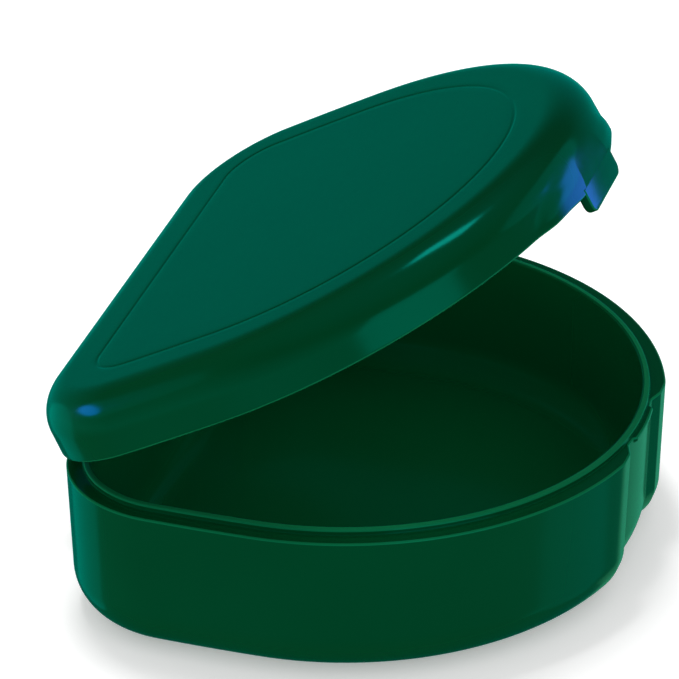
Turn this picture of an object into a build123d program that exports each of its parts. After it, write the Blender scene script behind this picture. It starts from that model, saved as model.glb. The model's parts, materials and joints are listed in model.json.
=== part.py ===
from build123d import *
import math
import os

# Hinged storage case for a mouthguard: a deep base, a shallow lid and a hinge pin.
# Millimetres. +Z up, +X along the hinge, -Y towards the latch. The origin is on the
# underside of the base, midway between the front of the body and its flat back.

os.makedirs("parts", exist_ok=True)

# Plan outline: a half-circle front, two nearly straight sides and a flat back.
BODY_DEPTH = 70.0  # front of the body to its flat back, without the hinge
FRONT_RADIUS = 41.4
SIDE_RADIUS = 266.0
SIDE_TURN = 3.0  # degrees that each side leans in towards the back

# Base
LEDGE_HEIGHT = 20.35  # the step of the rim that the lid closes on
LEDGE_WIDTH = 2.1
LIP_HEIGHT = 0.75  # the thin lip that stands inside the ledge
RIM_WIDTH = 3.1
BASE_DRAFT = 2.0  # degrees
BASE_EDGE_RADIUS = 6.3
FLOOR_THICKNESS = 2.5
CAVITY_DRAFT = 1.0
CAVITY_EDGE_RADIUS = 4.0
RIM_EDGE_RADIUS = 0.2

# Lid
LID_HEIGHT = 8.27  # ledge to the top of the closed lid
LID_GAP = 0.2  # between the closed skirt and the ledge
LID_DRAFT = 2.0
LID_EDGE_RADIUS = 5.0
LID_TOP_THICKNESS = 2.0
SKIRT_THICKNESS = 1.7
HOLLOW_DRAFT = 1.0
HOLLOW_EDGE_RADIUS = 3.0
GROOVE_INSET = 9.3  # from the skirt's outer face to the middle of the groove
GROOVE_WIDTH = 0.7
GROOVE_DEPTH = 0.15
LID_OPEN = 28.1  # degrees from closed in the pose that is modelled

# Latch at the front
FLAT_DEPTH = 1.45  # flat across the front of the base, behind the outline's front point
POCKET_DEPTH = 1.75  # curved pocket in that flat, level with the outline's own arc
POCKET_HALF_WIDTH = 6.0
POCKET_MOUTH_HALF_WIDTH = 8.2
RIDGE_HALF_WIDTH = 4.2
RIDGE_PROUD = 0.4
RIDGE_HEIGHT = 0.9
RIDGE_ROOT = 0.4  # how far the ridge reaches into the pocket's floor
TAB_HALF_WIDTH = 6.2
TAB_THICKNESS = 1.4
TAB_PROUD = 0.2  # how far the tab stands in front of the outline's front point
TAB_DROP = 3.1
TAB_CORNER_RADIUS = 1.3
TAB_ROOT = 0.3  # how far the tab runs up into the skirt

# Hinge at the back
HINGE_SETBACK = 3.68  # axis behind the flat back
HINGE_RISE = 0.27  # axis above the ledge
KNUCKLE_RADIUS = 3.0
KNUCKLE_LENGTH = 5.6
KNUCKLE_GAP = 0.3
KNUCKLE_COUNT = 5  # outer and middle ones on the base, the two between on the lid
WALL_OVERLAP = 1.0  # how far a knuckle's web reaches into the wall
BASE_WEB_DROP = 8.5
LID_WEB_RISE = 4.0
PIN_RADIUS = 1.0
PIN_CLEARANCE = 0.06
PIN_RECESS = 0.4  # each end of the pin sits this far inside the outer knuckle

# How far the latch's cutting shapes reach past the base
CUT_REACH = 25.0
CUT_MARGIN = 2.0
CUT_ARC = 50.0  # degrees

FRONT_Y = -BODY_DEPTH / 2
BACK_Y = BODY_DEPTH / 2
FRONT_CENTRE_Y = FRONT_Y + FRONT_RADIUS
SIDE_SINE = math.sin(math.radians(SIDE_TURN))
SIDE_COSINE = math.cos(math.radians(SIDE_TURN))
CORNER_RADIUS = (BACK_Y - FRONT_CENTRE_Y - SIDE_RADIUS * SIDE_SINE) / (1 - SIDE_SINE)
SIDE_CENTRE = (FRONT_RADIUS - SIDE_RADIUS, FRONT_CENTRE_Y)
CORNER_CENTRE = (
    SIDE_CENTRE[0] + (SIDE_RADIUS - CORNER_RADIUS) * SIDE_COSINE,
    SIDE_CENTRE[1] + (SIDE_RADIUS - CORNER_RADIUS) * SIDE_SINE,
)
HINGE_Y = BACK_Y + HINGE_SETBACK
HINGE_Z = LEDGE_HEIGHT + HINGE_RISE
SKIRT_Z = LEDGE_HEIGHT + LID_GAP
LID_TOP_Z = LEDGE_HEIGHT + LID_HEIGHT
KNUCKLE_PITCH = KNUCKLE_LENGTH + KNUCKLE_GAP
HINGE_LENGTH = KNUCKLE_COUNT * KNUCKLE_PITCH - KNUCKLE_GAP


def on_arc(centre, radius, degrees):
    angle = math.radians(degrees)
    return (centre[0] + radius * math.cos(angle), centre[1] + radius * math.sin(angle))


def mirrored(point):
    return (-point[0], point[1])


def outline(inset, height):
    """The plan outline as a face at a height, moved in from the outer wall by an inset."""
    front = FRONT_RADIUS - inset
    side = SIDE_RADIUS - inset
    corner = CORNER_RADIUS - inset
    apex = (0, FRONT_CENTRE_Y - front)
    shoulder = (front, FRONT_CENTRE_Y)
    side_middle = on_arc(SIDE_CENTRE, side, SIDE_TURN / 2)
    side_end = on_arc(SIDE_CENTRE, side, SIDE_TURN)
    corner_middle = on_arc(CORNER_CENTRE, corner, (SIDE_TURN + 90) / 2)
    corner_end = on_arc(CORNER_CENTRE, corner, 90)
    edges = [
        ThreePointArc(mirrored(shoulder), apex, shoulder),
        ThreePointArc(shoulder, side_middle, side_end),
        ThreePointArc(side_end, corner_middle, corner_end),
        Line(corner_end, mirrored(corner_end)),
        ThreePointArc(mirrored(corner_end), mirrored(corner_middle), mirrored(side_end)),
        ThreePointArc(mirrored(side_end), mirrored(side_middle), mirrored(shoulder)),
    ]
    return Pos(0, 0, height) * make_face(edges)


def edges_at(solid, height):
    """The solid's edges that lie wholly at one height."""
    flat = solid.edges().filter_by_position(Axis.Z, height - 0.01, height + 0.01)
    return [edge for edge in flat if edge.bounding_box().size.Z < 0.02]


def knuckle_span(index):
    start = -HINGE_LENGTH / 2 + index * KNUCKLE_PITCH
    return start, start + KNUCKLE_LENGTH


def hinge_prism(points, index):
    """A prism over one knuckle's length from (y, z) points."""
    start, _ = knuckle_span(index)
    face = Plane.YZ.offset(start) * make_face(Polyline(*points, close=True))
    return extrude(face, KNUCKLE_LENGTH)


def hinge_rod(radius, start, end):
    circle = Plane.YZ.offset(start) * Pos(HINGE_Y, HINGE_Z) * Circle(radius)
    return extrude(circle, end - start)


def outside_wall():
    """The region outside a drafted wall with a rounded bottom edge, as (outward, height)."""
    draft = math.radians(BASE_DRAFT)
    foot = -LEDGE_HEIGHT * math.tan(draft)
    tangent = BASE_EDGE_RADIUS * math.tan((math.pi / 2 - draft) / 2)
    arc_start = (foot - tangent, 0)
    arc_end = (foot + tangent * math.sin(draft), tangent * math.cos(draft))
    return make_face([
        TangentArc(arc_start, arc_end, tangent=(1, 0)),
        Polyline(
            arc_end,
            (CUT_MARGIN * math.tan(draft), LEDGE_HEIGHT + CUT_MARGIN),
            (CUT_REACH, LEDGE_HEIGHT + CUT_MARGIN),
            (CUT_REACH, -CUT_MARGIN),
            (foot - tangent, -CUT_MARGIN),
            arc_start,
        ),
    ])


def outside_straight(point, outward):
    """What lies outside a straight wall through a plan point, facing a plan direction."""
    plane = Plane(origin=(*point, 0), x_dir=(*outward, 0), z_dir=(outward[1], -outward[0], 0))
    return extrude(plane * outside_wall(), CUT_REACH, both=True)


def outside_arc(radius):
    """What lies outside a wall that is concentric with the outline's front."""
    start = Plane(origin=(0, FRONT_CENTRE_Y - radius, 0), x_dir=(0, -1, 0), z_dir=(-1, 0, 0))
    axis = Axis((0, FRONT_CENTRE_Y, 0), (0, 0, 1))
    profile = (start * outside_wall()).rotate(axis, -CUT_ARC / 2)
    return revolve(profile, axis, CUT_ARC)


def latch_flat():
    """What the flat across the front removes, down through the rounded bottom edge."""
    return outside_straight((0, FRONT_Y + FLAT_DEPTH), (0, -1))


def latch_pocket():
    """What the pocket in that flat removes: a floor along the outline's arc, sloped ends."""
    radius = FRONT_RADIUS - POCKET_DEPTH
    floor_y = FRONT_CENTRE_Y - math.sqrt(radius**2 - POCKET_HALF_WIDTH**2)
    mouth = (POCKET_MOUTH_HALF_WIDTH, FRONT_Y + FLAT_DEPTH)
    run = mouth[0] - POCKET_HALF_WIDTH
    rise = floor_y - mouth[1]
    length = math.hypot(run, rise)
    pocket = outside_arc(radius)
    for side in (-1, 1):
        outward = (-side * rise / length, -run / length)
        pocket &= outside_straight((side * mouth[0], mouth[1]), outward)
    return pocket


def catch_ridge():
    """The ridge at the top of the pocket that the tab snaps over, along the pocket's floor."""
    root_radius = FRONT_RADIUS - POCKET_DEPTH - RIDGE_ROOT
    front_radius = FRONT_RADIUS - POCKET_DEPTH + RIDGE_PROUD
    profile = Polyline(
        (0, FRONT_CENTRE_Y - root_radius, LEDGE_HEIGHT),
        (0, FRONT_CENTRE_Y - front_radius, LEDGE_HEIGHT),
        (0, FRONT_CENTRE_Y - front_radius, LEDGE_HEIGHT - RIDGE_HEIGHT / 2),
        (0, FRONT_CENTRE_Y - root_radius, LEDGE_HEIGHT - RIDGE_HEIGHT),
        close=True,
    )
    axis = Axis((0, FRONT_CENTRE_Y, 0), (0, 0, 1))
    ridge = revolve(make_face(profile).rotate(axis, -CUT_ARC / 2), axis, CUT_ARC)
    span = Box(2 * RIDGE_HALF_WIDTH, FRONT_RADIUS / 2, 2 * LEDGE_HEIGHT)
    return ridge & Pos(0, FRONT_Y, LEDGE_HEIGHT) * span


def base_knuckles():
    wall_y = BACK_Y - WALL_OVERLAP
    web = [
        (wall_y, LEDGE_HEIGHT - 0.2),
        (HINGE_Y, HINGE_Z - 0.5),
        (HINGE_Y + KNUCKLE_RADIUS * math.cos(math.radians(-30)),
         HINGE_Z + KNUCKLE_RADIUS * math.sin(math.radians(-30))),
        (wall_y, LEDGE_HEIGHT - BASE_WEB_DROP),
    ]
    solids = []
    for index in range(0, KNUCKLE_COUNT, 2):
        barrel = hinge_rod(KNUCKLE_RADIUS, *knuckle_span(index))
        solids.append(barrel + hinge_prism(web, index))
    return solids


def lid_knuckles():
    wall_y = BACK_Y - WALL_OVERLAP
    web = [
        (wall_y, SKIRT_Z + 0.1),
        (HINGE_Y, HINGE_Z),
        (HINGE_Y + KNUCKLE_RADIUS * math.cos(math.radians(75)),
         HINGE_Z + KNUCKLE_RADIUS * math.sin(math.radians(75))),
        (wall_y, SKIRT_Z + LID_WEB_RISE),
    ]
    solids = []
    for index in range(1, KNUCKLE_COUNT, 2):
        barrel = hinge_rod(KNUCKLE_RADIUS, *knuckle_span(index))
        solids.append(barrel + hinge_prism(web, index))
    return solids


def base_shell():
    body = extrude(outline(0, LEDGE_HEIGHT), LEDGE_HEIGHT, dir=(0, 0, -1), taper=BASE_DRAFT)
    body = fillet(edges_at(body, 0), BASE_EDGE_RADIUS)
    body -= latch_flat()
    body -= latch_pocket()
    body += catch_ridge()
    for knuckle in base_knuckles():
        body += knuckle
    body += extrude(outline(LEDGE_WIDTH, LEDGE_HEIGHT - 1), LIP_HEIGHT + 1)
    lip_z = LEDGE_HEIGHT + LIP_HEIGHT
    cavity = extrude(
        outline(RIM_WIDTH, lip_z),
        lip_z - FLOOR_THICKNESS,
        dir=(0, 0, -1),
        taper=CAVITY_DRAFT,
    )
    cavity = fillet(edges_at(cavity, FLOOR_THICKNESS), CAVITY_EDGE_RADIUS)
    body -= cavity
    body = fillet(edges_at(body, lip_z), RIM_EDGE_RADIUS)
    body -= hinge_rod(PIN_RADIUS, -HINGE_LENGTH, HINGE_LENGTH)
    return body


def lid_tab():
    """The flat tab that hangs from the front of the skirt, its inner bottom edge bevelled."""
    top = SKIRT_Z + TAB_ROOT
    height = TAB_DROP + TAB_ROOT
    size = (2 * TAB_HALF_WIDTH, TAB_THICKNESS, height)
    tab = Box(*size, align=(Align.CENTER, Align.MIN, Align.MAX))
    corners = tab.edges().filter_by(Axis.Y).group_by(Axis.Z)[0]
    tab = fillet(corners, TAB_CORNER_RADIUS)
    inner_bottom = tab.faces().sort_by(Axis.Y)[-1].edges().sort_by(Axis.Z)[0]
    tab = chamfer(inner_bottom, TAB_THICKNESS / 3)
    return Pos(0, FRONT_Y - TAB_PROUD, top) * tab


def closed_lid():
    height = LID_HEIGHT - LID_GAP
    body = extrude(outline(0, SKIRT_Z), height, taper=LID_DRAFT)
    body = fillet(edges_at(body, LID_TOP_Z), LID_EDGE_RADIUS)
    hollow = extrude(
        outline(SKIRT_THICKNESS, SKIRT_Z),
        height - LID_TOP_THICKNESS,
        taper=HOLLOW_DRAFT,
    )
    hollow = fillet(edges_at(hollow, LID_TOP_Z - LID_TOP_THICKNESS), HOLLOW_EDGE_RADIUS)
    body += lid_tab()
    for knuckle in lid_knuckles():
        body += knuckle
    body -= hollow
    groove_z = LID_TOP_Z - GROOVE_DEPTH
    groove = extrude(outline(GROOVE_INSET - GROOVE_WIDTH / 2, groove_z), 1)
    groove -= extrude(outline(GROOVE_INSET + GROOVE_WIDTH / 2, groove_z - 1), 3)
    body -= groove
    body -= hinge_rod(PIN_RADIUS + PIN_CLEARANCE, -HINGE_LENGTH, HINGE_LENGTH)
    return body


def lid_shell():
    """The lid turned open about the hinge, front edge up."""
    hinge = Axis((0, HINGE_Y, HINGE_Z), (-1, 0, 0))
    return closed_lid().rotate(hinge, LID_OPEN)


def hinge_pin():
    end = HINGE_LENGTH / 2 - PIN_RECESS
    return hinge_rod(PIN_RADIUS, -end, end)


for name, solid in (
    ("base_shell", base_shell()),
    ("lid_shell", lid_shell()),
    ("hinge_pin", hinge_pin()),
):
    export_step(solid, f"parts/{name}.step")
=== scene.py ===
import json
import math

import bmesh
import bpy
import numpy as np
from mathutils import Matrix, Vector

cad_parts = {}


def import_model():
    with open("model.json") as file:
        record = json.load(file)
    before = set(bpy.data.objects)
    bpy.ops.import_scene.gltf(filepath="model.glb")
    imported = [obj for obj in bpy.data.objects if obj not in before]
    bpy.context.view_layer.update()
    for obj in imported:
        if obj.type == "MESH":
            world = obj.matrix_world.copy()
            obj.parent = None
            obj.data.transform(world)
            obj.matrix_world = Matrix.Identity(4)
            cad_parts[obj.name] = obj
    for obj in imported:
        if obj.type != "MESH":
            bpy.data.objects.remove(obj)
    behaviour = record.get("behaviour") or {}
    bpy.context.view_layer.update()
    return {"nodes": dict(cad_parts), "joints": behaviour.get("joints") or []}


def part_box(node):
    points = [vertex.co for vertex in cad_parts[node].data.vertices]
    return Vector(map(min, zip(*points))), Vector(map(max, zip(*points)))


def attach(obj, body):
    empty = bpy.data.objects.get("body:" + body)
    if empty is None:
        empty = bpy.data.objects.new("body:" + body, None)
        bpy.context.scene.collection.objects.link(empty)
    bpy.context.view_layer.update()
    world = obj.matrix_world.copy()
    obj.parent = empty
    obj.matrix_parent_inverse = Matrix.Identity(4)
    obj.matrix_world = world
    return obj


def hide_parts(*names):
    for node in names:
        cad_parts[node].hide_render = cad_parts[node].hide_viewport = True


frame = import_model()

# A hinged mouthguard case in glossy moulded plastic. Everything is in metres, in the frame of the
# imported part: +Z up, +X along the hinge, -Y towards the latch. Lengths below are in millimetres
# and are turned into metres by MM where a mesh is made.
MM = 0.001

# ---- sizes read from the frame ----
BASE_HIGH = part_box("base_shell")[1] / MM
PIN_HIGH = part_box("hinge_pin")[1] / MM
LID_JOINT = frame["joints"][0]
HINGE_Y = LID_JOINT["pos_m"][1] / MM
HINGE_Z = LID_JOINT["pos_m"][2] / MM
LID_OPEN = -math.radians(LID_JOINT["range_deg"][0])
FRONT_RADIUS = BASE_HIGH.x
PIN_RADIUS = PIN_HIGH.z - HINGE_Z
HINGE_LENGTH = 2 * (PIN_HIGH.x + 0.4)
KNUCKLE_RADIUS = BASE_HIGH.z - HINGE_Z

# ---- plan outline: half-circle front, nearly straight sides, flat back ----
BODY_DEPTH = 70.0
FRONT_Y = -BODY_DEPTH / 2
BACK_Y = BODY_DEPTH / 2
FRONT_CENTRE_Y = FRONT_Y + FRONT_RADIUS
SIDE_RADIUS = 266.0
SIDE_TURN = math.radians(3.0)
CORNER_RADIUS = (BACK_Y - FRONT_CENTRE_Y - SIDE_RADIUS * math.sin(SIDE_TURN)) / (
    1 - math.sin(SIDE_TURN)
)

# ---- base ----
LEDGE_Z = HINGE_Z - 0.27
LEDGE_WIDTH = 2.1
LIP_HEIGHT = 0.75
RIM_WIDTH = 3.1
BASE_DRAFT = math.tan(math.radians(2.0))
BASE_EDGE_RADIUS = 6.3
FLOOR_Z = 2.5
CAVITY_DRAFT = math.tan(math.radians(1.0))
CAVITY_EDGE_RADIUS = 4.0
LEDGE_EDGE_RADIUS = 0.24
LIP_EDGE_RADIUS = 0.28
LIP_ROOT_RADIUS = 0.12

# ---- lid, in its closed place ----
SKIRT_Z = LEDGE_Z + 0.2
LID_TOP_Z = LEDGE_Z + 8.27
LID_DRAFT = math.tan(math.radians(2.0))
LID_EDGE_RADIUS = 5.0
LID_INNER_Z = LID_TOP_Z - 2.0
SKIRT_THICKNESS = 1.7
SKIRT_EDGE_RADIUS = 0.25
HOLLOW_DRAFT = math.tan(math.radians(1.0))
HOLLOW_EDGE_RADIUS = 3.0
GROOVE_INSET = 9.3
GROOVE_WIDTH = 0.8
GROOVE_DEPTH = 0.08

# ---- latch ----
FLAT_Y = FRONT_Y + 1.45
POCKET_RADIUS = FRONT_RADIUS - 1.75
POCKET_HALF_WIDTH = 6.0
POCKET_CORNER_Y = FRONT_CENTRE_Y - math.sqrt(POCKET_RADIUS**2 - POCKET_HALF_WIDTH**2)
POCKET_MOUTH_HALF_WIDTH = 8.2
POCKET_SLOPE = (POCKET_CORNER_Y - FLAT_Y) / (POCKET_MOUTH_HALF_WIDTH - POCKET_HALF_WIDTH)
LATCH_SOFTNESS = 0.15
RIDGE_RADIUS = POCKET_RADIUS + 0.4
RIDGE_HALF_WIDTH = 4.2
RIDGE_HEIGHT = 0.9
TAB_HALF_WIDTH = 6.2
TAB_THICKNESS = 1.4
TAB_PROUD = 0.2
TAB_DROP = 3.1
TAB_ROOT = 0.3
TAB_CORNER_RADIUS = 1.3
TAB_EDGE_RADIUS = 0.22
TAB_BACK_CHAMFER = 0.45

# ---- pad: a low swelling of the skirt's foot round the tab ----
PAD_FLAT = 13.0
PAD_END = 17.0
PAD_HEIGHT = 5.5
PAD_FULL_SHARE = 0.3
PAD_OUT = 0.55
PAD_BEHIND_TAB = 0.02
PAD_DOWN = 0.15
PAD_MIDDLE_DOWN = 0.25
PAD_MIDDLE_END = 10.5

# ---- hinge ----
KNUCKLE_COUNT = 5
KNUCKLE_GAP = 0.3
KNUCKLE_LENGTH = (HINGE_LENGTH - (KNUCKLE_COUNT - 1) * KNUCKLE_GAP) / KNUCKLE_COUNT
KNUCKLE_EDGE_RADIUS = 0.25
KNUCKLE_ROOT = 1.0
BASE_WEB = (LEDGE_Z - 0.35, LEDGE_Z - 8.5)
LID_WEB = (SKIRT_Z + 0.15, SKIRT_Z + 4.0)
BORE_CLEARANCE = 0.06


# ---------------------------------------------------------------- outline and rings


def arc_angles(start, end, step):
    count = max(1, round(abs(end - start) / step))
    return [start + (end - start) * i / count for i in range(count)]


def half_outline():
    """Samples of the right half from the front to the middle of the back, as (centre, radius,
    direction) rows. An inset ring lies at centre + (radius - inset) * direction."""
    front = (0.0, FRONT_CENTRE_Y)
    side = (FRONT_RADIUS - SIDE_RADIUS, FRONT_CENTRE_Y)
    reach = SIDE_RADIUS - CORNER_RADIUS
    corner = (side[0] + reach * math.cos(SIDE_TURN), side[1] + reach * math.sin(SIDE_TURN))
    bottom = -math.pi / 2
    latch_end = bottom + math.radians(17)
    rows = []
    for angle in arc_angles(bottom, latch_end, math.radians(0.22)):
        rows.append((front, FRONT_RADIUS, angle))
    for angle in arc_angles(latch_end, 0, math.radians(1.0)):
        rows.append((front, FRONT_RADIUS, angle))
    for angle in arc_angles(0, SIDE_TURN, SIDE_TURN / 8):
        rows.append((side, SIDE_RADIUS, angle))
    for angle in arc_angles(SIDE_TURN, math.pi / 2, math.radians(2.5)):
        rows.append((corner, CORNER_RADIUS, angle))
    flat_steps = 14
    for i in range(flat_steps + 1):
        x = corner[0] * (1 - i / flat_steps)
        rows.append(((x, corner[1]), CORNER_RADIUS, math.pi / 2))
    return rows


def full_outline():
    """The closed outline's centres, radii and directions, right half then left half."""
    half = half_outline()
    rows = [(c[0], c[1], r, math.cos(a), math.sin(a)) for c, r, a in half]
    left = [(-cx, cy, r, -dx, dy) for cx, cy, r, dx, dy in rows[-2:0:-1]]
    return np.array(rows + left)


OUTLINE = full_outline()


def ring(inset, height):
    reach = OUTLINE[:, 2] - inset
    x = OUTLINE[:, 0] + reach * OUTLINE[:, 3]
    y = OUTLINE[:, 1] + reach * OUTLINE[:, 4]
    return np.column_stack([x, y, np.full(len(x), height)])


def between(a, b, count):
    """Rings strictly between two rings."""
    return [a + (b - a) * i / (count + 1) for i in range(1, count + 1)]


def quarter(count):
    """(cosine, sine) pairs over a quarter turn, ends included."""
    angles = [math.pi / 2 * i / count for i in range(count + 1)]
    return [(math.cos(a), math.sin(a)) for a in angles]


def smooth_step(value, low, high):
    """0 up to low, 1 from high on, with a soft ramp between them."""
    t = np.clip((value - low) / (high - low), 0, 1)
    return t * t * (3 - 2 * t)


def mesh_from_rings(name, rings, painted_highlight):
    """A closed solid: rings joined by quads, with a cap on the first and last ring. The faces
    above the listed rings take the second material, a lighter green that paints a highlight on
    rounded edges."""
    count = len(OUTLINE)
    points = np.vstack(rings) * MM
    faces = []
    for level in range(len(rings) - 1):
        for i in range(count):
            j = (i + 1) % count
            low, high = level * count, (level + 1) * count
            faces.append((low + i, low + j, high + j, high + i))
    faces.append(tuple(reversed(range(count))))
    last = (len(rings) - 1) * count
    faces.append(tuple(last + i for i in range(count)))
    mesh = bpy.data.meshes.new(name)
    mesh.from_pydata(points.tolist(), [], faces)
    for level in painted_highlight:
        for polygon in mesh.polygons[level * count:(level + 1) * count]:
            polygon.material_index = 1
    return finished_object(name, mesh)


def finished_object(name, mesh):
    work = bmesh.new()
    work.from_mesh(mesh)
    bmesh.ops.recalc_face_normals(work, faces=work.faces)
    work.to_mesh(mesh)
    work.free()
    obj = bpy.data.objects.new(name, mesh)
    bpy.context.scene.collection.objects.link(obj)
    return obj


# ---------------------------------------------------------------- base


def latch_limit(x, height, inset):
    """How far forward (least y) a ring of the base may reach at x: a flat with a curved pocket in
    its middle, sloped at both ends, and the catch ridge at the pocket's top."""
    reach = np.abs(x)
    arc = np.sqrt(np.maximum((POCKET_RADIUS - inset) ** 2 - reach**2, 0))
    slope = FLAT_Y + (POCKET_MOUTH_HALF_WIDTH - reach) * POCKET_SLOPE
    slope += inset * math.hypot(1, POCKET_SLOPE)
    pocket = np.minimum(FRONT_CENTRE_Y - arc, slope)
    limit = np.maximum(FLAT_Y + inset, pocket)
    across = 1 - smooth_step(reach, RIDGE_HALF_WIDTH - 0.2, RIDGE_HALF_WIDTH + 0.1)
    up = smooth_step(height, LEDGE_Z - RIDGE_HEIGHT, LEDGE_Z - RIDGE_HEIGHT / 2)
    rounding = inset if height > LEDGE_Z - LEDGE_EDGE_RADIUS else 0.0
    crest = np.sqrt(np.maximum((RIDGE_RADIUS - rounding) ** 2 - reach**2, 0))
    ridge = np.minimum(limit, FRONT_CENTRE_Y - crest)
    return limit + (ridge - limit) * across * up


def cut_for_latch(inset, height):
    """A ring of the base with its front pushed back to the latch's flat and pocket."""
    points = ring(inset, height)
    limit = latch_limit(points[:, 0], height, inset)
    x, y = points[:, 0], points[:, 1]
    soft = 0.5 * (y + limit + np.sqrt((y - limit) ** 2 + LATCH_SOFTNESS**2))
    front = (np.abs(x) < FRONT_RADIUS / 2) & (y < 0)
    weight = 1 - smooth_step(np.abs(x), FRONT_RADIUS / 3, FRONT_RADIUS / 2)
    points[:, 1] = np.where(front, y + (soft - y) * weight, y)
    return points


def base_rings():
    """The base's rings from the cavity's floor to the underside, and which of them take the
    painted edge highlight.
    """
    rings = []
    lip_z = LEDGE_Z + LIP_HEIGHT
    cavity_height = lip_z - FLOOR_Z
    # cavity floor, its rounded edge and the wall up to the lip
    low_inset = RIM_WIDTH + cavity_height * CAVITY_DRAFT
    for cosine, sine in reversed(quarter(12)):
        inset = low_inset + CAVITY_EDGE_RADIUS * (1 - cosine)
        rings.append(ring(inset, FLOOR_Z + CAVITY_EDGE_RADIUS * (1 - sine)))
    rings[0][:, 2] = FLOOR_Z
    wall_top = ring(RIM_WIDTH, lip_z - LIP_EDGE_RADIUS)
    rings += between(rings[-1], wall_top, 8)
    # lip: rounded top, then its outer face down to the ledge
    lip = len(rings)
    for cosine, sine in quarter(5):
        inset = RIM_WIDTH - LIP_EDGE_RADIUS * (1 - cosine)
        rings.append(ring(inset, lip_z - LIP_EDGE_RADIUS * (1 - sine)))
    for cosine, sine in reversed(quarter(5)):
        inset = LEDGE_WIDTH + LIP_EDGE_RADIUS * (1 - cosine)
        rings.append(ring(inset, lip_z - LIP_EDGE_RADIUS * (1 - sine)))
    # the lip's outer rounding and face take the lighter green: a painted highlight
    painted_highlight = list(range(lip + 5, len(rings) - 1))
    for cosine, sine in quarter(3):
        inset = LEDGE_WIDTH - LIP_ROOT_RADIUS * (1 - cosine)
        rings.append(ring(inset, LEDGE_Z + LIP_ROOT_RADIUS * (1 - sine)))
    # ledge and its rounded outer edge
    edge = [
        cut_for_latch(LEDGE_EDGE_RADIUS * (1 - cosine), LEDGE_Z - LEDGE_EDGE_RADIUS * (1 - sine))
        for cosine, sine in reversed(quarter(4))
    ]
    rings += between(rings[-1], edge[0], 3)
    # the ledge's rounded outer edge takes the lighter green too: a painted highlight
    painted_highlight += range(len(rings), len(rings) + len(edge) - 1)
    rings += edge
    # outer wall, finely near the catch ridge, then the rounded bottom edge
    fillet_z = BASE_EDGE_RADIUS
    heights = [LEDGE_Z - 0.4 - 0.1 * i for i in range(8)]
    heights += list(np.linspace(heights[-1] - 0.6, fillet_z + 0.3, 16))
    for height in heights:
        rings.append(cut_for_latch((LEDGE_Z - height) * BASE_DRAFT, height))
    wall_inset = (LEDGE_Z - fillet_z) * BASE_DRAFT
    for cosine, sine in quarter(24):
        inset = wall_inset + BASE_EDGE_RADIUS * (1 - cosine)
        rings.append(cut_for_latch(inset, BASE_EDGE_RADIUS * (1 - sine)))
    return rings, painted_highlight


# ---------------------------------------------------------------- lid


def front_pad(points):
    """Brings the front of the skirt forward to the flat tab's face, and fades out beside it."""
    x, y, z = points.T
    along = (1 - smooth_step(np.abs(x), PAD_FLAT, PAD_END)) * (y < 0)
    high = PAD_HEIGHT * np.sqrt(np.maximum(1 - (x / PAD_END) ** 2, 0.01))
    up = 1 - smooth_step(z, SKIRT_Z + PAD_FULL_SHARE * high, SKIRT_Z + high)
    push = np.clip(y - (FRONT_Y - TAB_PROUD + PAD_BEHIND_TAB), 0, PAD_OUT)
    middle = 1 - smooth_step(np.abs(x), TAB_HALF_WIDTH, PAD_MIDDLE_END)
    down = PAD_DOWN + PAD_MIDDLE_DOWN * middle
    return points - np.column_stack([0 * x, push * along * up, down * along * up])


def lid_rings():
    """The closed lid's rings from inside its top to its middle, and which of them take the painted
    edge highlight.
    """
    rings = []
    # hollow from the inside of the top down to the skirt's inner edge
    top_inset = SKIRT_THICKNESS + (LID_INNER_Z - SKIRT_Z) * HOLLOW_DRAFT
    for cosine, sine in reversed(quarter(10)):
        inset = top_inset + HOLLOW_EDGE_RADIUS * (1 - cosine)
        rings.append(ring(inset, LID_INNER_Z - HOLLOW_EDGE_RADIUS * (1 - sine)))
    skirt_in = ring(SKIRT_THICKNESS, SKIRT_Z + SKIRT_EDGE_RADIUS)
    rings += between(rings[-1], skirt_in, 5)
    for cosine, sine in quarter(4):
        inset = SKIRT_THICKNESS - SKIRT_EDGE_RADIUS * (1 - cosine)
        rings.append(ring(inset, SKIRT_Z + SKIRT_EDGE_RADIUS * (1 - sine)))
    outside = len(rings)
    # the skirt's rounded bottom edge takes the lighter green: a painted highlight
    painted_highlight = range(outside, outside + 4)
    for cosine, sine in reversed(quarter(4)):
        inset = SKIRT_EDGE_RADIUS * (1 - cosine)
        rings.append(ring(inset, SKIRT_Z + SKIRT_EDGE_RADIUS * (1 - sine)))
    # skirt, rounded top edge
    fillet_z = LID_TOP_Z - LID_EDGE_RADIUS
    wall_inset = (fillet_z - SKIRT_Z) * LID_DRAFT
    rings += between(rings[-1], ring(wall_inset, fillet_z), 12)
    for cosine, sine in quarter(28):
        inset = wall_inset + LID_EDGE_RADIUS * (1 - cosine)
        rings.append(ring(inset, LID_TOP_Z - LID_EDGE_RADIUS * (1 - sine)))
    rings[outside:] = [front_pad(points) for points in rings[outside:]]
    # flat top with its engraved line
    groove_low = GROOVE_INSET - GROOVE_WIDTH / 2
    rings += between(rings[-1], ring(groove_low, LID_TOP_Z), 4)
    steps = 10
    for i in range(steps + 1):
        depth = GROOVE_DEPTH * 0.5 * (1 - math.cos(2 * math.pi * i / steps))
        rings.append(ring(groove_low + GROOVE_WIDTH * i / steps, LID_TOP_Z - depth))
    rings.append(ring(GROOVE_INSET + 1.5, LID_TOP_Z))
    return rings, painted_highlight


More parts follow.
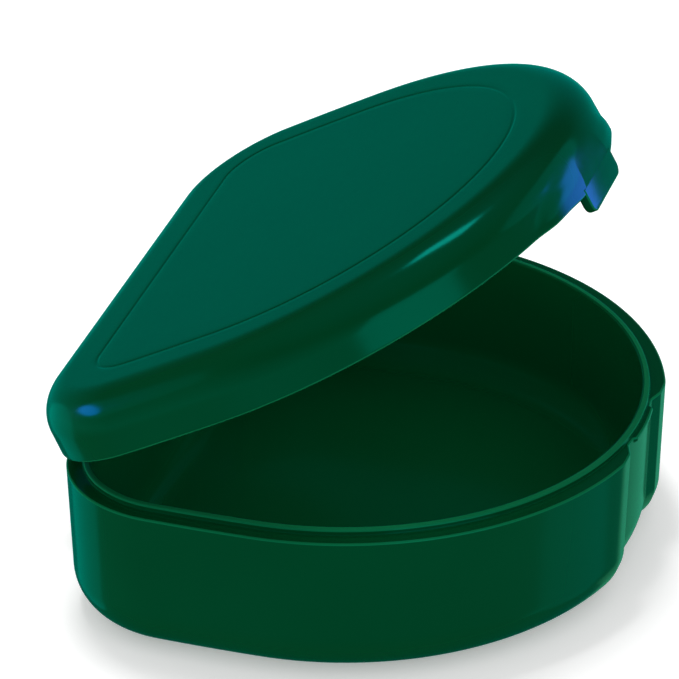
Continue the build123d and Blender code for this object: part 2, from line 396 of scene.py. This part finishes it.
def rounded_plate_outline(inset):
    """The tab seen from the front, as (x, z) points anticlockwise from its top right."""
    half = TAB_HALF_WIDTH - inset
    low = SKIRT_Z - TAB_DROP + inset
    high = SKIRT_Z + TAB_ROOT
    radius = TAB_CORNER_RADIUS - inset
    points = [(half, high), (-half, high)]
    for cosine, sine in quarter(8):
        points.append((-half + radius * (1 - cosine), low + radius * (1 - sine)))
    for cosine, sine in reversed(quarter(8)):
        points.append((half - radius * (1 - cosine), low + radius * (1 - sine)))
    return points


def loft(name, sections, painted_highlight=()):
    """A closed solid through sections of equally many 3-D points, in millimetres. The faces
    after the listed sections take the second material, a lighter green that paints a highlight on
    rounded edges."""
    count = len(sections[0])
    points = [tuple(value * MM for value in p) for section in sections for p in section]
    faces = [tuple(range(count)), tuple(range(len(points) - count, len(points)))]
    for level in range(len(sections) - 1):
        for i in range(count):
            j = (i + 1) % count
            low, high = level * count, (level + 1) * count
            faces.append((low + i, low + j, high + j, high + i))
    mesh = bpy.data.meshes.new(name)
    mesh.from_pydata(points, [], faces)
    for level in painted_highlight:
        for polygon in mesh.polygons[2 + level * count:2 + (level + 1) * count]:
            polygon.material_index = 1
    return finished_object(name, mesh)


def tab():
    """The flat latch tab: rounded round its front, more strongly chamfered round its back."""
    front = FRONT_Y - TAB_PROUD
    back = front + TAB_THICKNESS
    sections = []
    for cosine, sine in reversed(quarter(4)):
        inset = TAB_EDGE_RADIUS * (1 - cosine)
        y = front + TAB_EDGE_RADIUS * (1 - sine)
        sections.append([(x, y, z) for x, z in rounded_plate_outline(inset)])
    for cosine, sine in quarter(4):
        inset = TAB_BACK_CHAMFER * (1 - cosine)
        y = back - TAB_BACK_CHAMFER * (1 - sine)
        sections.append([(x, y, z) for x, z in rounded_plate_outline(inset)])
    # the front rounded edge takes the lighter green: a painted highlight
    return loft("tab", sections, range(4))


# ---------------------------------------------------------------- hinge knuckles


def knuckle(name, index, angles, web):
    """One knuckle: a barrel with a web into the wall, its end edges rounded. The barrel's arc
    runs between two angles in degrees, and the web's two ends lie inside the wall, at two
    heights."""
    start = -HINGE_LENGTH / 2 + index * (KNUCKLE_LENGTH + KNUCKLE_GAP)
    end = start + KNUCKLE_LENGTH
    edge = KNUCKLE_EDGE_RADIUS

    def profile(inset):
        points = []
        steps = 40
        radius = KNUCKLE_RADIUS - inset
        for i in range(steps + 1):
            angle = math.radians(angles[0] + (angles[1] - angles[0]) * i / steps)
            points.append((HINGE_Y + radius * math.cos(angle), HINGE_Z + radius * math.sin(angle)))
        shrink = inset * (1 if web[0] > web[1] else -1)
        inside = BACK_Y - KNUCKLE_ROOT
        points += [(inside, web[0] - shrink), (inside, web[1] + shrink)]
        return points

    sections = []
    for cosine, sine in reversed(quarter(3)):
        x = start + edge * (1 - sine)
        sections.append([(x, y, z) for y, z in profile(edge * (1 - cosine))])
    for cosine, sine in quarter(3):
        x = end - edge * (1 - sine)
        sections.append([(x, y, z) for y, z in profile(edge * (1 - cosine))])
    return loft(name, sections)


def base_knuckle(index):
    return knuckle(f"base_knuckle_{index}", index, (-35, 200), BASE_WEB)


def lid_knuckle(index):
    return knuckle(f"lid_knuckle_{index}", index, (75, -170), LID_WEB)


def bore(radius):
    bpy.ops.mesh.primitive_cylinder_add(
        vertices=72,
        radius=radius * MM,
        depth=2 * HINGE_LENGTH * MM,
        location=(0, HINGE_Y * MM, HINGE_Z * MM),
        rotation=(0, math.pi / 2, 0),
    )
    return bpy.context.object


def combine(target, others, operation):
    for other in others:
        modifier = target.modifiers.new(operation.lower(), "BOOLEAN")
        modifier.operation = operation
        modifier.solver = "EXACT"
        modifier.object = other
    bpy.context.view_layer.update()
    graph = bpy.context.evaluated_depsgraph_get()
    mesh = bpy.data.meshes.new_from_object(target.evaluated_get(graph))
    target.modifiers.clear()
    target.data = mesh
    for other in others:
        bpy.data.objects.remove(other)
    return target


def shade(obj, degrees=32):
    mesh = obj.data
    mesh.shade_smooth()
    work = bmesh.new()
    work.from_mesh(mesh)
    limit = math.radians(degrees)
    for edge in work.edges:
        edge.smooth = not (edge.is_manifold and edge.calc_face_angle(0) > limit)
    work.to_mesh(mesh)
    work.free()


def build_base():
    shell = mesh_from_rings("case_base", *base_rings())
    combine(shell, [base_knuckle(i) for i in range(0, KNUCKLE_COUNT, 2)], "UNION")
    combine(shell, [bore(PIN_RADIUS + 0.01)], "DIFFERENCE")
    shade(shell)
    return shell


def build_lid():
    shell = mesh_from_rings("case_lid", *lid_rings())
    parts = [tab()] + [lid_knuckle(i) for i in range(1, KNUCKLE_COUNT, 2)]
    combine(shell, parts, "UNION")
    combine(shell, [bore(PIN_RADIUS + BORE_CLEARANCE)], "DIFFERENCE")
    hinge = Vector((0, HINGE_Y, HINGE_Z)) * MM
    turn = Matrix.Rotation(-LID_OPEN, 4, "X")
    shell.data.transform(Matrix.Translation(hinge) @ turn @ Matrix.Translation(-hinge))
    shade(shell)
    return shell


# ---------------------------------------------------------------- materials


def principled(name):
    material = bpy.data.materials.new(name)
    material.use_nodes = True
    return material, material.node_tree, material.node_tree.nodes["Principled BSDF"]


def gloss_plastic(name, dark, light):
    """Dark green injection-moulded plastic: faint clouding in its colour, a polished skin with
    slight waviness and fine handling marks. It mirrors green and blue, hardly any red."""
    material, tree, shader = principled(name)
    nodes, links = tree.nodes, tree.links
    place = nodes.new("ShaderNodeTexCoord")
    cloud = nodes.new("ShaderNodeTexNoise")
    cloud.inputs["Scale"].default_value = 45
    cloud.inputs["Detail"].default_value = 3
    links.new(place.outputs["Object"], cloud.inputs["Vector"])
    ramp = nodes.new("ShaderNodeValToRGB")
    ramp.color_ramp.elements[0].position = 0.35
    ramp.color_ramp.elements[0].color = (*dark, 1)
    ramp.color_ramp.elements[1].position = 0.65
    ramp.color_ramp.elements[1].color = (*light, 1)
    links.new(cloud.outputs["Fac"], ramp.inputs["Fac"])
    links.new(ramp.outputs["Color"], shader.inputs["Base Color"])
    grain = nodes.new("ShaderNodeTexNoise")
    grain.inputs["Scale"].default_value = 900
    grain.inputs["Detail"].default_value = 4
    links.new(place.outputs["Object"], grain.inputs["Vector"])
    rough = nodes.new("ShaderNodeMapRange")
    rough.inputs["To Min"].default_value = 0.12
    rough.inputs["To Max"].default_value = 0.2
    links.new(grain.outputs["Fac"], rough.inputs["Value"])
    links.new(rough.outputs["Result"], shader.inputs["Roughness"])
    wave = nodes.new("ShaderNodeTexNoise")
    wave.inputs["Scale"].default_value = 120
    wave.inputs["Detail"].default_value = 2
    links.new(place.outputs["Object"], wave.inputs["Vector"])
    bump = nodes.new("ShaderNodeBump")
    bump.inputs["Strength"].default_value = 0.05
    bump.inputs["Distance"].default_value = 0.0003
    links.new(wave.outputs["Fac"], bump.inputs["Height"])
    links.new(bump.outputs["Normal"], shader.inputs["Normal"])
    shader.inputs["IOR"].default_value = 1.49
    shader.inputs["Specular Tint"].default_value = (0.02, 1.0, 0.85, 1)
    return material


def drawn_steel():
    material, tree, shader = principled("drawn_steel")
    nodes, links = tree.nodes, tree.links
    place = nodes.new("ShaderNodeTexCoord")
    stretch = nodes.new("ShaderNodeMapping")
    stretch.inputs["Scale"].default_value = (30, 2500, 2500)
    links.new(place.outputs["Object"], stretch.inputs["Vector"])
    lines = nodes.new("ShaderNodeTexNoise")
    lines.inputs["Scale"].default_value = 1
    links.new(stretch.outputs["Vector"], lines.inputs["Vector"])
    rough = nodes.new("ShaderNodeMapRange")
    rough.inputs["To Min"].default_value = 0.2
    rough.inputs["To Max"].default_value = 0.42
    links.new(lines.outputs["Fac"], rough.inputs["Value"])
    links.new(rough.outputs["Result"], shader.inputs["Roughness"])
    shader.inputs["Base Color"].default_value = (0.6, 0.6, 0.59, 1)
    shader.inputs["Metallic"].default_value = 1
    return material


# ---------------------------------------------------------------- the object

base = build_base()
base.data.materials.append(gloss_plastic("base_green", (0.0, 0.043, 0.011), (0.0, 0.046, 0.0123)))
# the second material, a lighter green on the lip and on the ledge's rounded edge, is a painted
# highlight
base.data.materials.append(gloss_plastic("base_edge_painted_highlight", (0.002, 0.1, 0.035), (0.003, 0.12, 0.043)))
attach(base, "base")
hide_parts("base_shell")

lid = build_lid()
lid.data.materials.append(gloss_plastic("lid_green", (0.0, 0.042, 0.0108), (0.0, 0.045, 0.012)))
# the second material, a lighter green on the skirt's bottom edge and on the tab's front edge, is a
# painted highlight
lid.data.materials.append(gloss_plastic("lid_edge_painted_highlight", (0.002, 0.09, 0.032), (0.003, 0.11, 0.04)))
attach(lid, "lid")
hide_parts("lid_shell")

pin = frame["nodes"]["hinge_pin"]
pin.data.materials.clear()
pin.data.materials.append(drawn_steel())


# ---------------------------------------------------------------- floor, light and camera

TEAL = (0, 1, 0.85)
CASE_MIDDLE = (-0.02, -0.01, 0.045)
LID_BACK_CORNER = (-0.037, 0.033, 0.028)


def floor():
    """A white sweep that the plastic doesn't mirror, as if the case stood on a cut-out ground."""
    bpy.ops.mesh.primitive_plane_add(size=6)
    plane = bpy.context.object
    plane.name = "floor"
    plane.visible_glossy = False
    plane.visible_diffuse = False
    material, _, shader = principled("floor_white")
    shader.inputs["Base Color"].default_value = (0.9, 0.9, 0.9, 1)
    shader.inputs["Roughness"].default_value = 0.9
    shader.inputs["Specular IOR Level"].default_value = 0.0
    shader.inputs["Emission Color"].default_value = (1, 1, 1, 1)
    shader.inputs["Emission Strength"].default_value = 0.3
    plane.data.materials.append(material)
    return plane


def aimed(location, target):
    direction = Vector(target) - Vector(location)
    return direction.to_track_quat("-Z", "Y").to_euler()


def area_light(name, location, target, size, watts, colour=(1, 1, 1), shape="RECTANGLE"):
    data = bpy.data.lights.new(name, "AREA")
    data.shape = shape
    data.size, data.size_y = size
    data.energy = watts
    data.color = colour
    light = bpy.data.objects.new(name, data)
    light.location = location
    light.rotation_euler = aimed(location, target)
    bpy.context.scene.collection.objects.link(light)
    return light


def polar(azimuth, elevation, distance, target):
    a, e = math.radians(azimuth), math.radians(elevation)
    back = Vector((math.sin(a) * math.cos(e), -math.cos(a) * math.cos(e), math.sin(e)))
    return Vector(target) + back * distance


def camera():
    """A long lens, above and to the left of the case, a little towards its front."""
    data = bpy.data.cameras.new("camera")
    data.lens = 266.5
    data.sensor_width = 36
    data.clip_end = 20
    view = bpy.data.objects.new("camera", data)
    target = Vector((-2.06, 6.74, 27.28)) * MM
    view.location = polar(-73.0, 28.82, 0.6476, target)
    roll = Matrix.Rotation(math.radians(-0.3), 4, "Z")
    look = aimed(view.location, target).to_matrix().to_4x4()
    view.rotation_euler = (look @ roll).to_euler()
    bpy.context.scene.collection.objects.link(view)
    bpy.context.scene.camera = view


def room(tree, direction, levels, tint):
    """A colour that changes with the height of the direction looked in, from (height, level)."""
    fit = tree.nodes.new("ShaderNodeMapRange")
    fit.inputs["From Min"].default_value = -1
    tree.links.new(direction, fit.inputs["Value"])
    node = tree.nodes.new("ShaderNodeValToRGB")
    elements = node.color_ramp.elements
    while len(elements) < len(levels):
        elements.new(0.5)
    for element, (height, level) in zip(elements, levels):
        element.position = (height + 1) / 2
        element.color = (*(level * share for share in tint), 1)
    tree.links.new(fit.outputs["Result"], node.inputs["Fac"])
    return node.outputs["Color"]


def world():
    """What lies around the case: white for the camera, a grey room for soft light, and for
    reflections a dim blue-green room."""
    scene_world = bpy.data.worlds.new("studio")
    scene_world.use_nodes = True
    scene_world.cycles.sampling_method = "NONE"
    tree = scene_world.node_tree
    nodes, links = tree.nodes, tree.links
    place = nodes.new("ShaderNodeTexCoord")
    split = nodes.new("ShaderNodeSeparateXYZ")
    links.new(place.outputs["Generated"], split.inputs["Vector"])
    mirrored = room(tree, split.outputs["Z"], [
        (-1.0, 0.05), (-0.6, 0.13), (-0.5, 0.2), (-0.28, 0.4), (0.0, 0.27),
        (0.2, 0.2), (0.45, 0.06), (0.6, 0.06), (0.9, 0.24), (1.0, 0.28),
    ], (0, 1, 0.85))
    soft = room(tree, split.outputs["Z"], [
        (-1.0, 1.2), (0.0, 1.15), (0.3, 1.05), (0.6, 0.68), (1.0, 0.66),
    ], (1, 1, 1))
    path = nodes.new("ShaderNodeLightPath")
    around = nodes.new("ShaderNodeMixRGB")
    links.new(path.outputs["Is Diffuse Ray"], around.inputs["Fac"])
    links.new(mirrored, around.inputs["Color1"])
    links.new(soft, around.inputs["Color2"])
    seen = nodes.new("ShaderNodeMixRGB")
    seen.inputs["Color2"].default_value = (1, 1, 1, 1)
    links.new(path.outputs["Is Camera Ray"], seen.inputs["Fac"])
    links.new(around.outputs["Color"], seen.inputs["Color1"])
    links.new(seen.outputs["Color"], nodes["Background"].inputs["Color"])
    bpy.context.scene.world = scene_world


def panel(
    name, shape, azimuth, elevation, size, radiance, colour, receivers,
    target=CASE_MIDDLE, distance=1.0,
):
    """A light that is only mirrored, aimed at the case from the side that it is mirrored from."""
    watts = radiance * math.pi * size[0] * size[1]
    place = polar(azimuth, elevation, distance, target)
    light = area_light(name, place, target, size, watts, colour, shape)
    light.visible_diffuse = False
    light.visible_camera = False
    light.light_linking.receiver_collection = receivers


def group(name, members):
    made = bpy.data.collections.new(name)
    for member in members:
        made.objects.link(member)
    return made


def soft_lights(ground, case):
    """Light for the ground's soft shadow, for the back of the case and for its inside."""
    key = area_light("floor_key", (0.13, 0.17, 0.95), (0, 0, 0), (0.2, 0.2), 4)
    key.light_linking.receiver_collection = group("ground", [ground])
    back = area_light("back_fill", (0, 1.0, 0.02), (0, 0, 0.02), (0.4, 0.3), 6)
    back.visible_glossy = False
    back.light_linking.receiver_collection = case
    down = (0, 0.0001, 0)
    inside = area_light(
        "inside_fill", (0, 0, 0.0255), down, (0.078, 0.066), 0.0085, shape="ELLIPSE"
    )
    inside.visible_glossy = False
    inside.visible_camera = False
    inside.light_linking.receiver_collection = case


def mirrored_lights(case):
    """What the gloss shows: a streak, a window, dim cards below and two blue things."""
    upper = group("lid_part", [lid])
    panel("streak", "RECTANGLE", 107, 80, (0.34, 0.2), 5.5, (0.1, 1.0, 0.98), case)
    panel("window", "RECTANGLE", -40, 10, (0.68, 0.48), 1.1, (0.08, 1.0, 0.85), case)
    panel("card", "RECTANGLE", 70, -32, (0.6, 0.5), 0.36, (0.17, 1.0, 0.45), case)
    panel("card_front", "RECTANGLE", 20, -34, (0.5, 0.5), 0.2, TEAL, case)
    panel("blue_front", "RECTANGLE", 43, 7, (0.41, 0.66), 5.2, (0.07, 0.16, 1.0), upper)
    panel("card_back", "ELLIPSE", 166, -24, (0.8, 0.9), 0.3, TEAL, case)
    panel("halo", "ELLIPSE", -160, 15, (0.8, 0.5), 0.2, TEAL, upper)
    panel(
        "blue_back", "ELLIPSE", -167.4, 14, (0.115, 0.054), 5.5, (0.04, 0.19, 1.0), upper,
        target=LID_BACK_CORNER, distance=0.2,
    )
    panel("halo_front", "ELLIPSE", 36, 29, (1.1, 0.55), 0.38, TEAL, upper)


case_parts = group("case_parts", [base, lid, pin])
soft_lights(floor(), case_parts)
mirrored_lights(case_parts)
world()
camera()
bpy.context.scene.view_settings.view_transform = "Standard"
